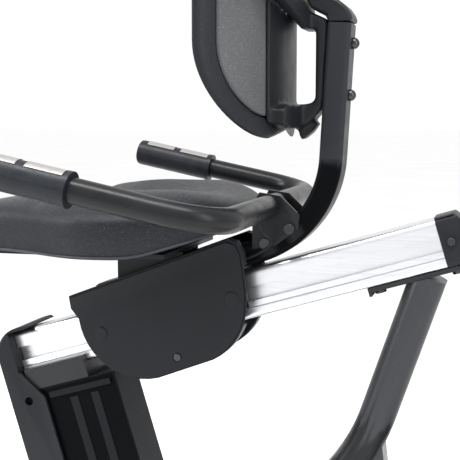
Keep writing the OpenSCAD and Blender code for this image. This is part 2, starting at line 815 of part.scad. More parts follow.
// Plan outline of the cushion, drawn in by g: wide at the hips, narrower at the nose
function seat_plan(g) = let (w = seat_w / 2 - g) mirrored(concat(
    [[0, -138 + g]],
    arc([w - 96, -42 + g], 96, -90, 0, 8),
    arc([w - 220, 20], 220, 2, 22, 4),
    arc([w - 124, 200 - g], 80, 15, 90, 6),
    [[0, 280 - g]]));

module seat_cushion() color([0.2, 0.2, 0.22]) at_seat() difference() {
    for (layer = [[-90, -78, 16], [-78, -64, 5], [-64, -34, 0], [-34, -20, 7], [-20, -9, 22]])
        translate([0, 0, layer[0]]) rotate([0, 0, 90]) linear_extrude(layer[1] - layer[0])
            polygon(seat_plan(layer[2]));
    // Underside rising to the rear, over the backrest post
    xz_plate(-250, 250) polygon([[50, -90.01], [200, -43.4], [200, -130], [50, -130]]);
}

module seat_handlebar() color(steel_black) {
    reach = 167.6;
    bend = 65;
    half = grip_spread / 2;
    r = bar_d / 2;
    on_handles() difference() {
        union() {
            y_rod(r, -half + bend, half - bend, reach);
            both_sides() {
                x_rod(r, -118, reach - bend, half, 0);
                translate([reach - bend, half - bend, 0]) rotate_extrude(angle = 90)
                    translate([bend, 0]) circle(r);
            }
        }
        both_sides() x_rod(r - 2.5, -119, reach - bend, half, 0);
        // Slot that the pulse wire comes out of
        box([reach - 6, -84, -20], [reach + 6, -66, 0]);
    }
    // Gusset plates that carry the cross tube on the backrest post
    at_seat() both_sides() difference() {
        xz_plate(post_w / 2 + 0.2, post_w / 2 + 4.2) polygon([[143, -90], [174, -84], [203, -62],
            [205, -44], [180, -20], [152, -16], [143, -34]]);
        for (p = [[160, -82], [192, -62]]) y_rod(4, 0, 60, p[0], p[1]);
    }
}

module handle_grips() color([0.15, 0.15, 0.16]) on_handles() both_sides()
    translate([0, grip_spread / 2, 0]) difference() {
        union() {
            for (turn = [0, 180]) rotate([turn, 0, 0]) difference() {
                x_rod(grip_d / 2, -120, -6, 0, 0);
                box([-121, -grip_d, -grip_d], [0, grip_d, 0.15]);
            }
            x_rod(grip_d / 2 + 1.2, -6, 0, 0, 0);
            x_rod(grip_d / 2 - 0.6, -123, -120, 0, 0);
            x_rod(grip_d / 2 - 3, -125, -123, 0, 0);
        }
        x_rod(bar_d / 2, -118, 1, 0, 0);
    }

// Two steel contact plates on top of each grip
module sensor_plates() color([0.75, 0.73, 0.7]) on_handles() both_sides()
    translate([0, grip_spread / 2, 0]) for (span = [[-54, -8], [-110.5, -65.4]])
        translate([span[0], 0, 0]) rotate([0, 90, 0]) rotate([0, 0, 140])
            rotate_extrude(angle = 80) translate([grip_d / 2, 0]) square([0.8, span[1] - span[0]]);

// Route of the pulse wire: from the slot in the cross tube, along the left gusset and into the carriage
wire_route = [[160, -75, -36], [163, -74, -52], [166, -66, -64], [170, -52, -72], [172, -42, -78],
    [166, -37.5, -86], [150, -33.8, -96], [130, -33.5, -105], [112, -33.5, -112]];
wire_sides = 8;
wire_r = 1.8;

function wire_along(i) =
    let (d = wire_route[min(i + 1, len(wire_route) - 1)] - wire_route[max(i - 1, 0)]) d / norm(d);
function wire_ring(i) =
    let (t = wire_along(i), u = cross(t, [0, 0, 1]) / norm(cross(t, [0, 0, 1])), v = cross(t, u))
    [for (k = [0:wire_sides - 1]) let (a = k * 360 / wire_sides)
        wire_route[i] + wire_r * (u * cos(a) + v * sin(a))];

module pulse_wire() color([0.1, 0.1, 0.1]) {
    last = len(wire_route) - 1;
    n = wire_sides;
    at_seat() polyhedron([for (i = [0:last]) each wire_ring(i)], concat(
        [[for (k = [0:n - 1]) k]], [[for (k = [n - 1:-1:0]) last * n + k]],
        [for (i = [0:last - 1], k = [0:n - 1]) let (a = i * n, m = (k + 1) % n)
            each [[a + k, a + n + k, a + n + m], [a + k, a + n + m, a + m]]]));
}

// ---- Backrest ----

module post_section() tube_section(post_d, post_w, 6, tube_wall);

module backrest_post() color([0.08, 0.08, 0.09]) difference() {
    union() {
        // Straight length along the carriage
        on_rail() translate([0, 0, web_top + post_d / 2]) along_x(-60, 169.8) rotate([0, 0, 90]) post_section();
        at_seat() {
            translate([post_bend[0], 0, post_bend[1]]) rotate([90, 0, 0]) rotate([0, 0, rail_slope - 90])
                rotate_extrude(angle = 90 - rail_slope - post_lean) translate([post_bend_r, 0]) post_section();
            translate([post_bend[0] + post_bend_r * cos(post_lean), 0, post_bend[1] - post_bend_r * sin(post_lean)])
                rotate([0, post_lean, 0]) linear_extrude(170) post_section();
        }
    }
    at_seat() {
        for (z = [108, 173]) x_rod(4, 200, 280, 0, z);
        for (p = [[160, -82], [192, -62]]) y_rod(4, -60, 60, p[0], p[1]);
    }
}

module post_cap() color(plastic_black) at_seat()
    xz_plate(-26, 26) polygon([[237.5, 198.8], [269, 198.8], [268, 207], [261, 217], [250, 226], [236, 232],
        [222, 234], [208, 232], [216, 216], [236, 206]]);

// Outline of the backrest in the Y-Z plane, drawn in by g
function back_outline(g) = mirrored(concat([[0, back_low + 12 + g]],
    arc([back_half - 113, back_low + 113], 113 - g, -90, 0, 14),
    arc([back_half - 85, back_low + back_h - 85], 85 - g, 0, 90, 10),
    [[0, back_low + back_h - g]]));

// Slice of an upright cylinder wall about the backrest's axis, from radius r0 to r1
module back_wall(r0, r1) difference() {
    z_rod(r1, 0, 500, back_axis);
    z_rod(r0, -1, 501, back_axis);
}

module back_panel(r0, r1, g) intersection() {
    back_wall(r0, r1);
    along_x(0, 300) polygon(back_outline(g));
}

module backrest_pad() color([0.2, 0.2, 0.22]) at_seat() {
    // Cushion ahead of the shell, drawn in towards its front, and its rolled rim
    for (layer = [[246, 258, 46], [258, 268, 26], [268, back_r - 4.2, 8]])
        back_panel(layer[0], layer[1], layer[2]);
    difference() {
        back_panel(back_r - 4.2, back_r, 0);
        back_panel(back_r - 5, back_r + 1, 26);
    }
}

module backrest_shell() color(plastic_grey) at_seat() back_panel(back_r - 4, back_r, 27);

module backrest_spine() color(plastic_black) at_seat() difference() {
    union() {
        // Plate that hugs the back of the shell, with a shelf at its foot and a yoke at its top
        intersection() {
            back_wall(back_r + 0.2, back_r + 4.5);
            along_x(0, 300) polygon([[-82, 74], [82, 74], [82, 380], [-82, 380]]);
        }
        intersection() {
            back_wall(back_r + 0.2, back_r + 22);
            along_x(0, 300) polygon([[-78, 72], [-60, 66], [60, 66], [78, 72], [78, 90], [60, 96],
                [-60, 96], [-78, 90]]);
        }
        intersection() {
            back_wall(back_r + 0.2, back_r + 14);
            along_x(0, 300) polygon([[-150, 262], [-120, 236], [120, 236], [150, 262], [150, 330],
                [120, 350], [-120, 350], [-150, 330]]);
        }
        // Spine bar, with the see-through gap ahead of it
        xz_plate(-22, 22) polygon([[222, 104], [222, 196], [206, 214], [190, 233], [190, 262], [201, 238],
            [213, 213], [235, 203], [236.9, 196.5], [231.4, 92], [218, 76], [204, 66], [190, 66],
            [190, 96], [212, 97], [219, 99]]);
        // Arms from the bar's top out to the yoke
        both_sides() hull() {
            box([204, -4, 190], [216, 22, 202]);
            box([172, 90, 238], [186, 118, 290]);
        }
        // Tab below the shelf
        xz_plate(-14, 14) polygon([[198, 68], [226, 74], [218, 62], [206, 52], [202, 52]]);
    }
    z_rod(back_r + 0.15, 0, 500, back_axis);
    for (z = [108, 173]) x_rod(4, 228, 280, 0, z);
}

module seat_screws() color([0.55, 0.55, 0.56]) {
    at_seat() {
        // Backrest bolts, with domed heads behind the post
        for (z = [108, 173]) {
            face = post_bend[0] + (post_bend_r + post_d / 2) / cos(post_lean)
                + (z - post_bend[1]) * tan(post_lean);
            x_rod(4, 230, face + 1, 0, z);
            translate([face, 0, z]) rotate([0, 90 + post_lean, 0]) rotate_extrude()
                polygon(concat([[0, 0], [7.5, 0]], arc([0, 1.5], 7.5, 12, 84, 8), [[0, 9]]));
        }
        // Handlebar bolts through the gussets and the post
        for (p = [[160, -82], [192, -62]]) {
            y_rod(4, -post_w / 2 - 4.2, post_w / 2 + 4.2, p[0], p[1]);
            both_sides() y_rod(7, post_w / 2 + 4.2, post_w / 2 + 9, p[0], p[1]);
        }
        // Seat bolts up through the base
        for (x = seat_bolt_x, y = seat_bolt_y) {
            z_rod(4, -100, -91, x, y);
            z_rod(7, -105, -100, x, y);
        }
    }
    // Cover screws
    on_rail() both_sides() {
        y_rod(2.6, 36, cover_out - 1.5, 36, -53);
        y_rod(5, cover_out - 1.5, cover_out + 0.6, 36, -53);
    }
}

spine_tube();
rear_leg();
stabilizers();
stabilizer_caps();
upright_post();
upright_cover();
seat_rail();
rail_end_cap();
rail_mounts();
frame_bolts();
drive_frame();
crank_bearings();
housing_left();
housing_right();
fixed_axles();
drive_belt();
tension_motor();
console_mast();
front_handlebar();
front_grips();
crank_axle();
drive_pulley();
crank_arm_left();
crank_arm_right();
pedal_spindles();
pedal_left();
pedal_right();
strap_left();
strap_right();
flywheel();
magnet_arm();
wheel_left();
wheel_right();
foot_left();
foot_right();
console_shell();
console_screen();
button_start();
button_up();
button_down();
carriage_frame();
cover_left();
cover_right();
seat_base();
seat_cushion();
seat_handlebar();
handle_grips();
sensor_plates();
backrest_post();
post_cap();
backrest_shell();
backrest_spine();
backrest_pad();
front_rollers();
rear_rollers();
roller_axles();
seat_screws();
pulse_wire();
seat_lever();
lock_shoe();
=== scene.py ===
"""Recumbent exercise bike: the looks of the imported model, in metres and in its frame.

+X is the rear of the machine, +Y the rider's right, and Z = 0 the floor.
"""
import json
import math

import bmesh
import bpy
from mathutils import Matrix, Vector


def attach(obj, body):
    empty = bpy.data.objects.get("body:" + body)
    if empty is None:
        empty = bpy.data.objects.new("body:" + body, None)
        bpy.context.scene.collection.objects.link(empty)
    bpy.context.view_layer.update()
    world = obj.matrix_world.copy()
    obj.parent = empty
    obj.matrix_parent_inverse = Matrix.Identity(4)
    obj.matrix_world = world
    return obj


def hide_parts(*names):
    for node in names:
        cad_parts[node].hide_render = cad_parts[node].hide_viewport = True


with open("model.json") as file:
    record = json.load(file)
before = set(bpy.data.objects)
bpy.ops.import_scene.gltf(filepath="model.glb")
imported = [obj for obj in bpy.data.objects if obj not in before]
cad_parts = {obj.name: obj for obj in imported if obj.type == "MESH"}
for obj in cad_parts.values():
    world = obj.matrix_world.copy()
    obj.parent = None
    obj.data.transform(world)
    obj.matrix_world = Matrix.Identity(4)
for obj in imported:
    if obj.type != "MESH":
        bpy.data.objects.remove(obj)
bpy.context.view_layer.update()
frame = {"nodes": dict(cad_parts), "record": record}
NODES = frame["nodes"]
BODY_OF = {node: body for body, nodes in frame["record"]["behaviour"]["bodies"].items() for node in nodes}
SLOT_OF = {part["node"]: part["material_slot"] for part in frame["record"]["subparts"]}

# The seat's datum, midway between the rear ends of the hand grips
DATUM = Vector((0.09, 0.0, 0.62))
RAIL_SLOPE = math.radians(16.83)


# ---------------------------------------------------------------- camera and studio

FLOOR_HALF = 90.0
WHITE = (1.0, 1.0, 1.0)
BLACK = (0.0, 0.0, 0.0)

def aim(obj, target):
    """Turns a camera or light to look at target."""
    obj.rotation_euler = (Vector(target) - obj.location).to_track_quat("-Z", "Y").to_euler()


def make_camera():
    """Stands to the left of the seat, a little behind it and above it."""
    target = Vector((0.190, 0.0191, 0.5488))
    azimuth, elevation, distance = math.radians(15.23), math.radians(6.19), 1.353
    camera = bpy.data.objects.new("camera", bpy.data.cameras.new("camera"))
    bpy.context.collection.objects.link(camera)
    back = Vector((math.sin(azimuth) * math.cos(elevation), -math.cos(azimuth) * math.cos(elevation),
                   math.sin(elevation)))
    camera.location = target + back * distance
    aim(camera, target)
    camera.data.sensor_width = 36.0
    camera.data.lens = 78.26
    camera.data.clip_start, camera.data.clip_end = 0.05, 100.0
    bpy.context.scene.camera = camera


def softbox(name, location, target, size, power):
    """A rectangular studio light."""
    data = bpy.data.lights.new(name, "AREA")
    data.shape = "RECTANGLE"
    data.size, data.size_y = size
    data.energy = power
    light = bpy.data.objects.new(name, data)
    bpy.context.collection.objects.link(light)
    light.location = location
    aim(light, target)


def make_studio():
    """A white room with a matt floor and softboxes above, ahead and behind."""
    world = bpy.data.worlds.new("studio")
    world.use_nodes = True
    world.node_tree.nodes["Background"].inputs["Color"].default_value = (1.0, 1.0, 1.0, 1.0)
    world.node_tree.nodes["Background"].inputs["Strength"].default_value = 1.04
    bpy.context.scene.world = world
    bpy.context.scene.view_settings.view_transform = "Standard"
    mesh = bpy.data.meshes.new("floor")
    half = FLOOR_HALF
    corners = [(-half, -half, 0), (half, -half, 0), (half, half, 0), (-half, half, 0)]
    mesh.from_pydata(corners, [], [(0, 1, 2, 3)])
    floor = bpy.data.objects.new("floor", mesh)
    bpy.context.collection.objects.link(floor)
    mesh.materials.append(floor_material())
    softbox("top_light", (0.1, -0.7, 2.4), (0.1, 0.0, 0.6), (2.4, 0.5), 60.0)
    softbox("left_light", (-1.9, -1.6, 1.5), (0.0, 0.0, 0.6), (0.5, 1.6), 26.0)
    softbox("rear_light", (2.2, -0.9, 1.3), (0.1, 0.0, 0.6), (0.4, 1.6), 16.0)
    softbox("front_light", (-1.5, -0.9, 1.6), (-0.1, -0.15, 0.6), (0.3, 0.5), 14.0)


# ---------------------------------------------------------------- materials

class Look:
    """A node material built up one step at a time. Lengths are in metres."""

    def __init__(self, name):
        self.material = bpy.data.materials.new(name)
        self.material.use_nodes = True
        self.tree = self.material.node_tree
        self.shader = self.tree.nodes["Principled BSDF"]
        self.place = self.tree.nodes.new("ShaderNodeTexCoord").outputs["Object"]

    def node(self, kind, **values):
        made = self.tree.nodes.new(kind)
        for key, value in values.items():
            if key in made.inputs:
                made.inputs[key].default_value = value
            else:
                setattr(made, key, value)
        return made

    def link(self, output, target):
        self.tree.links.new(output, target)

    def fixed(self, **values):
        """Sets the shader's own sockets, with _ for a space."""
        for key, value in values.items():
            self.shader.inputs[key.replace("_", " ")].default_value = value

    def stretched(self, scale, slope=0.0):
        """Coordinates scaled along X, Y and Z, after turning them by slope about Y."""
        mapping = self.node("ShaderNodeMapping", vector_type="POINT")
        mapping.inputs["Rotation"].default_value = (0.0, slope, 0.0)
        mapping.inputs["Scale"].default_value = scale
        self.link(self.place, mapping.inputs["Vector"])
        return mapping.outputs["Vector"]

    def noise(self, size, detail=3.0, place=None):
        """Noise whose features are about size across."""
        made = self.node("ShaderNodeTexNoise", Scale=1.0 / size, Detail=detail)
        self.link(place or self.place, made.inputs["Vector"])
        return made.outputs["Fac"]

    def ramp(self, value, low, high, colour_low, colour_high):
        """A colour that runs from colour_low to colour_high as value goes from low to high."""
        made = self.node("ShaderNodeValToRGB")
        made.color_ramp.elements[0].position, made.color_ramp.elements[1].position = low, high
        made.color_ramp.elements[0].color = (*colour_low, 1.0)
        made.color_ramp.elements[1].color = (*colour_high, 1.0)
        self.link(value, made.inputs["Fac"])
        return made.outputs["Color"]

    def blend(self, factor, first, second):
        """Runs from first to second as factor goes from 0 to 1. Each may be an output or a fixed value."""
        made = self.node("ShaderNodeMix", data_type="RGBA", blend_type="MIX")
        for output, target in ((factor, made.inputs[0]), (first, made.inputs[6]), (second, made.inputs[7])):
            if isinstance(output, (float, tuple)):
                target.default_value = output
            else:
                self.link(output, target)
        return made.outputs[2]

    def colour(self, output):
        self.link(output, self.shader.inputs["Base Color"])

    def roughness(self, value, low, high):
        """Roughness that runs from low to high with value."""
        made = self.node("ShaderNodeMapRange")
        made.inputs["From Min"].default_value, made.inputs["From Max"].default_value = 0.3, 0.7
        made.inputs["To Min"].default_value, made.inputs["To Max"].default_value = low, high
        self.link(value, made.inputs["Value"])
        self.link(made.outputs["Result"], self.shader.inputs["Roughness"])

    def bump(self, height, depth):
        """Raises the surface by depth where height is 1. Calls add up."""
        made = self.node("ShaderNodeBump", Strength=1.0, Distance=depth)
        before = self.shader.inputs["Normal"]
        if before.is_linked:
            self.link(before.links[0].from_socket, made.inputs["Normal"])
        self.link(height, made.inputs["Height"])
        self.link(made.outputs["Normal"], before)


def tint(colour, factor):
    return tuple(min(1.0, c * factor) for c in colour)


def floor_material():
    look = Look("floor_paper")
    shade = look.noise(0.8, 2.0)
    look.colour(look.ramp(shade, 0.3, 0.7, (0.93, 0.93, 0.93), (0.96, 0.96, 0.96)))
    look.fixed(Roughness=0.9, Specular_IOR_Level=0.1)
    return look.material


def worn_edges(look, colour, amount):
    """Lightens convex edges a little, as handling does."""
    geometry = look.node("ShaderNodeNewGeometry")
    edge = look.ramp(geometry.outputs["Pointiness"], 0.53, 0.62, BLACK, (amount,) * 3)
    return look.blend(edge, colour, (0.10, 0.105, 0.115, 1.0))


def powder_coat(name, colour, gloss=0.24):
    """Satin powder coat with a fine orange peel."""
    look = Look(name)
    cloud = look.noise(0.09, 4.0)
    base = look.ramp(cloud, 0.3, 0.7, tint(colour, 0.85), tint(colour, 1.2))
    look.colour(worn_edges(look, base, 0.25))
    look.roughness(look.noise(0.02, 3.0), 0.26, 0.36)
    look.bump(look.noise(0.0016, 2.0), 0.00004)
    look.fixed(Specular_IOR_Level=gloss)
    return look.material


def moulded_plastic(name, colour, roughness=0.45, speckle=0.0, grain=0.0009):
    """Moulded plastic with a fine spark-eroded grain, and light specks where asked."""
    look = Look(name)
    cloud = look.noise(0.12, 3.0)
    base = look.ramp(cloud, 0.3, 0.7, tint(colour, 0.88), tint(colour, 1.12))
    if speckle:
        dots = look.ramp(look.noise(0.0014, 1.0), 0.58, 0.72, BLACK, (speckle,) * 3)
        base = look.blend(dots, base, (0.55, 0.56, 0.58, 1.0))
        pits = look.ramp(look.noise(0.0021, 1.0), 0.28, 0.40, (speckle,) * 3, BLACK)
        base = look.blend(pits, base, (0.02, 0.02, 0.022, 1.0))
    look.colour(worn_edges(look, base, 0.18))
    look.roughness(look.noise(0.03, 3.0), roughness - 0.06, roughness + 0.06)
    look.bump(look.noise(grain, 2.0), 0.00005)
    look.fixed(Specular_IOR_Level=0.16)
    return look.material


def aluminium(name):
    """Bright anodised extrusion, drawn along the rail."""
    look = Look(name)
    lines = look.noise(0.0009, 3.0, look.stretched((0.004, 1.0, 1.0), RAIL_SLOPE))
    bands = look.noise(0.011, 2.0, look.stretched((0.02, 1.0, 1.0), RAIL_SLOPE))
    base = look.ramp(lines, 0.3, 0.7, (0.66, 0.665, 0.69), (0.76, 0.765, 0.79))
    look.colour(look.blend(look.ramp(bands, 0.35, 0.65, BLACK, (0.15,) * 3), base,
                           (0.50, 0.505, 0.54, 1.0)))
    look.roughness(lines, 0.27, 0.34)
    look.fixed(Metallic=1.0)
    return look.material


def brushed_metal(name, colour, roughness, across=(0.02, 1.0, 1.0)):
    """Metal with fine parallel brush lines."""
    look = Look(name)
    lines = look.noise(0.0006, 3.0, look.stretched(across))
    look.colour(look.ramp(lines, 0.25, 0.75, tint(colour, 0.85), tint(colour, 1.12)))
    look.roughness(lines, roughness - 0.08, roughness + 0.08)
    look.bump(lines, 0.00002)
    look.fixed(Metallic=1.0)
    return look.material


def grained_vinyl(name, colour, speck, roughness=0.42):
    """Upholstery vinyl: leather grain, pale specks where the grain catches light, and soft creases."""
    look = Look(name)
    cells = look.node("ShaderNodeTexVoronoi", Scale=1.0 / 0.0019, feature="DISTANCE_TO_EDGE")
    look.link(look.place, cells.inputs["Vector"])
    grain = look.ramp(cells.outputs["Distance"], 0.02, 0.22, BLACK, WHITE)
    cloud = look.noise(0.05, 4.0)
    base = look.ramp(cloud, 0.3, 0.7, tint(colour, 0.85), tint(colour, 1.2))
    base = look.blend(look.ramp(grain, 0.0, 1.0, (0.5,) * 3, BLACK), base, (*tint(colour, 0.45), 1.0))
    dots = look.ramp(look.noise(0.0012, 1.0), 0.60, 0.74, BLACK, (speck,) * 3)
    look.colour(look.blend(dots, base, (0.42, 0.43, 0.46, 1.0)))
    look.roughness(look.noise(0.004, 2.0), roughness - 0.08, roughness + 0.08)
    look.bump(grain, 0.00010)
    look.bump(look.noise(0.03, 3.0), 0.0005)
    look.fixed(Sheen_Weight=0.02, Sheen_Roughness=0.4, Specular_IOR_Level=0.21)
    return look.material


def rubber(name, colour, roughness=0.6):
    look = Look(name)
    cloud = look.noise(0.03, 4.0)
    look.colour(look.ramp(cloud, 0.3, 0.7, tint(colour, 0.8), tint(colour, 1.25)))
    look.roughness(look.noise(0.008, 2.0), roughness - 0.08, roughness + 0.08)
    look.bump(look.noise(0.0012, 2.0), 0.00006)
    look.fixed(Specular_IOR_Level=0.22)
    return look.material


def webbing(name, colour):
    """Woven strap: ribs across it and threads along it."""
    look = Look(name)
    ribs = look.node("ShaderNodeTexWave", Scale=1.0 / 0.0055, Distortion=0.6, bands_direction="X")
    look.link(look.place, ribs.inputs["Vector"])
    threads = look.noise(0.0008, 2.0)
    weave = look.blend(0.5, ribs.outputs["Color"], look.ramp(threads, 0.3, 0.7, BLACK, WHITE))
    look.colour(look.ramp(weave, 0.2, 0.8, tint(colour, 0.6), tint(colour, 1.4)))
    look.roughness(threads, 0.65, 0.85)
    look.bump(weave, 0.0004)
    return look.material


def display(name):
    """Dark display window with a faint grid of segments under it."""
    look = Look(name)
    cells = look.node("ShaderNodeTexBrick", Scale=1.0 / 0.02)
    cells.inputs["Color1"].default_value = (0.10, 0.15, 0.15, 1.0)
    cells.inputs["Color2"].default_value = (0.09, 0.13, 0.14, 1.0)
    cells.inputs["Mortar"].default_value = (0.03, 0.045, 0.05, 1.0)
    cells.inputs["Mortar Size"].default_value = 0.03
    look.link(look.stretched((1.0, 1.0, 1.0), 0.0), cells.inputs["Vector"])
    look.colour(cells.outputs["Color"])
    look.roughness(look.noise(0.05, 2.0), 0.08, 0.14)
    look.fixed(Coat_Weight=0.6, Coat_Roughness=0.05)
    return look.material


LOOKS = {
    "frame_paint": powder_coat("frame_paint", (0.007, 0.0075, 0.0085)),
    # Painted shade: a darker, less glossy copy of the frame paint, used on the two posts
    "shaded_post_paint": powder_coat("shaded_post_paint", (0.0025, 0.0027, 0.0034), 0.03),
    "black_plastic": moulded_plastic("black_plastic", (0.0095, 0.0105, 0.0125), 0.42),
    "grey_plastic": moulded_plastic("grey_plastic", (0.074, 0.075, 0.079), 0.5, speckle=0.16, grain=0.0014),
    "rail_aluminium": aluminium("rail_aluminium"),
    "bare_steel": brushed_metal("bare_steel", (0.62, 0.62, 0.63), 0.28),
    "dark_fasteners": brushed_metal("dark_fasteners", (0.06, 0.06, 0.065), 0.24),
    "seat_vinyl": grained_vinyl("seat_vinyl", (0.0095, 0.0108, 0.0145), 0.09),
    "back_vinyl": grained_vinyl("back_vinyl", (0.0095, 0.011, 0.0145), 0.04, 0.38),
    "grip_rubber": rubber("grip_rubber", (0.0105, 0.0122, 0.0158), 0.38),
    "sensor_steel": brushed_metal("sensor_steel", (0.50, 0.485, 0.47), 0.36),
    "black_rubber": rubber("black_rubber", (0.010, 0.010, 0.011)),
    "flywheel_iron": brushed_metal("flywheel_iron", (0.30, 0.30, 0.31), 0.35, (1.0, 0.02, 1.0)),
    "screen": display("screen"),
    "buttons": moulded_plastic("buttons", (0.22, 0.23, 0.25), 0.35),
    "webbing": webbing("webbing", (0.05, 0.05, 0.055)),
    "piping": rubber("piping", (0.035, 0.038, 0.045), 0.4),
}


# ---------------------------------------------------------------- mesh helpers

# Edges sharper than this many degrees are rounded
BEVEL_ANGLE = 28.0
# Faces with more corners than this are a node's large flat faces, and stay flat
FLAT_ABOVE = 6

def new_piece(name, mesh, body, slot, material=None, replaces=()):
    """Puts a mesh in the scene as a piece that rides on a body."""
    piece = bpy.data.objects.new(name, mesh)
    bpy.context.collection.objects.link(piece)
    mesh.materials.clear()
    mesh.materials.append(material or LOOKS[slot])
    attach(piece, body)
    if replaces:
        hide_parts(*replaces)
    return piece


def applied(piece, kind, **settings):
    """Adds a modifier, bakes it into the mesh, and leaves none behind."""
    modifier = piece.modifiers.new(kind.lower(), kind)
    for key, value in settings.items():
        setattr(modifier, key, value)
    graph = bpy.context.evaluated_depsgraph_get()
    graph.update()
    baked = bpy.data.meshes.new_from_object(piece.evaluated_get(graph), depsgraph=graph)
    piece.modifiers.remove(modifier)
    old = piece.data
    piece.data = baked
    bpy.data.meshes.remove(old)


def smooth(mesh, angle=35.0):
    """Smooth shading, with edges sharper than angle left sharp."""
    mesh.shade_smooth()
    mesh.set_sharp_from_angle(angle=math.radians(angle))


def clean_copy(node):
    """A copy of a CAD node's mesh with its vertices welded and its flat faces whole."""
    mesh = NODES[node].data.copy()
    form = bmesh.new()
    form.from_mesh(mesh)
    bmesh.ops.remove_doubles(form, verts=form.verts, dist=2e-6)
    bmesh.ops.dissolve_limit(form, angle_limit=math.radians(0.6), verts=form.verts, edges=form.edges)
    form.to_mesh(mesh)
    form.free()
    return mesh


def rounded(node, width, material=None):
    """Stands for a CAD node with its hard edges rounded to width."""
    piece = new_piece(node + "_rounded", clean_copy(node), BODY_OF[node], SLOT_OF[node], material, (node,))
    applied(piece, "BEVEL", width=width, segments=2, limit_method="ANGLE",
            angle_limit=math.radians(BEVEL_ANGLE), use_clamp_overlap=True)
    smooth(piece.data)
    for face in piece.data.polygons:
        face.use_smooth = len(face.vertices) <= FLAT_ABOVE
    applied(piece, "WEIGHTED_NORMAL", mode="FACE_AREA", weight=80, keep_sharp=True)


def moulded(node, voxel, passes):
    """Stands for a CAD node as one soft-edged moulding."""
    piece = new_piece(node + "_moulded", clean_copy(node), BODY_OF[node], SLOT_OF[node], replaces=(node,))
    applied(piece, "REMESH", mode="VOXEL", voxel_size=voxel)
    applied(piece, "SMOOTH", factor=0.5, iterations=passes)
    piece.data.shade_smooth()


def loft(name, rings):
    """A closed mesh through rings of equal length, the first and last being single points."""
    count = len(rings[1])
    points = [rings[0][0]] + [p for ring in rings[1:-1] for p in ring] + [rings[-1][0]]
    last = len(points) - 1
    faces = []
    for i in range(count):
        j = (i + 1) % count
        faces.append((0, 1 + j, 1 + i))
        for k in range(len(rings) - 3):
            a, b = 1 + k * count, 1 + (k + 1) * count
            faces.append((a + i, a + j, b + j, b + i))
        a = 1 + (len(rings) - 3) * count
        faces.append((a + i, a + j, last))
    mesh = bpy.data.meshes.new(name)
    mesh.from_pydata(points, [], faces)
    form = bmesh.new()
    form.from_mesh(mesh)
    bmesh.ops.recalc_face_normals(form, faces=form.faces)
    form.to_mesh(mesh)
    form.free()
    mesh.shade_smooth()
    return mesh


def tube_loop(name, path, radius, sides=8):
    """A closed tube along a closed path."""
    count = len(path)
    points, faces = [], []
    for i, p in enumerate(path):
        along = (path[(i + 1) % count] - path[i - 1]).normalized()
        out = along.cross(Vector((0, 0, 1))).normalized()
        up = out.cross(along)
        for k in range(sides):
            turn = 2 * math.pi * k / sides
            points.append(p + radius * (out * math.cos(turn) + up * math.sin(turn)))
    for i in range(count):
        a, b = i * sides, ((i + 1) % count) * sides
        for k in range(sides):
            m = (k + 1) % sides
            faces.append((a + k, b + k, b + m, a + m))
    mesh = bpy.data.meshes.new(name)
    mesh.from_pydata(points, [], faces)
    mesh.shade_smooth()
    return mesh


def hump(value, centre, width):
    return math.exp(-((value - centre) / width) ** 2)


# ---------------------------------------------------------------- seat cushion

SEAT_FRONT, SEAT_REAR, SEAT_HALF = -0.279, 0.137, 0.200
SEAT_LOW, SEAT_MIDDLE = -0.0895, -0.050
SEAT_POINTS = 168
PIPING_RADIUS, PIPING_REACH, PIPING_LIFT = 0.0016, 0.9590, 0.0030


def seat_plan(turn):
    """Point of the cushion's outline, seen from above: full at the hips and narrower at the nose."""
    c, s = math.cos(turn), math.sin(turn)
    power = 2.0 / (2.35 if c > 0 else 2.9)
    x = math.copysign(abs(c) ** power, c)
    y = math.copysign(abs(s) ** power, s)
    x = SEAT_REAR * x if x > 0 else -SEAT_FRONT * x
    nose = max(0.0, min(1.0, (-0.02 - x) / 0.14))
    nose = nose * nose * (3.0 - 2.0 * nose)
    return Vector((x, y * (SEAT_HALF - 0.044 * nose), 0.0))


def seat_top(x, y):
    """Height of the cushion's top: two thigh lobes, a dished seat and a raised rear edge."""
    side = abs(y)
    high = -0.019
    high += 0.015 * hump(side, 0.130, 0.060) * hump(x, -0.030, 0.120)
    high += 0.010 * hump(x, 0.080, 0.050) * (1.0 - 0.35 * hump(y, 0.0, 0.06))
    high -= 0.010 * hump(y, 0.0, 0.070) * hump(x, -0.01, 0.10)
    high -= 0.005 * hump(x, -0.105, 0.010) * (1.0 - hump(y, 0.0, 0.05))
    high -= 0.018 * hump(x, -0.290, 0.075)
    return high


def seat_under(x):
    """Height of the underside, which rises to the rear over the backrest's post."""
    ahead = x - 0.036
    return SEAT_LOW + 0.311 * 0.5 * (math.hypot(ahead, 0.02) + ahead)


def seat_outline():
    return [seat_plan(2 * math.pi * i / SEAT_POINTS) for i in range(SEAT_POINTS)]


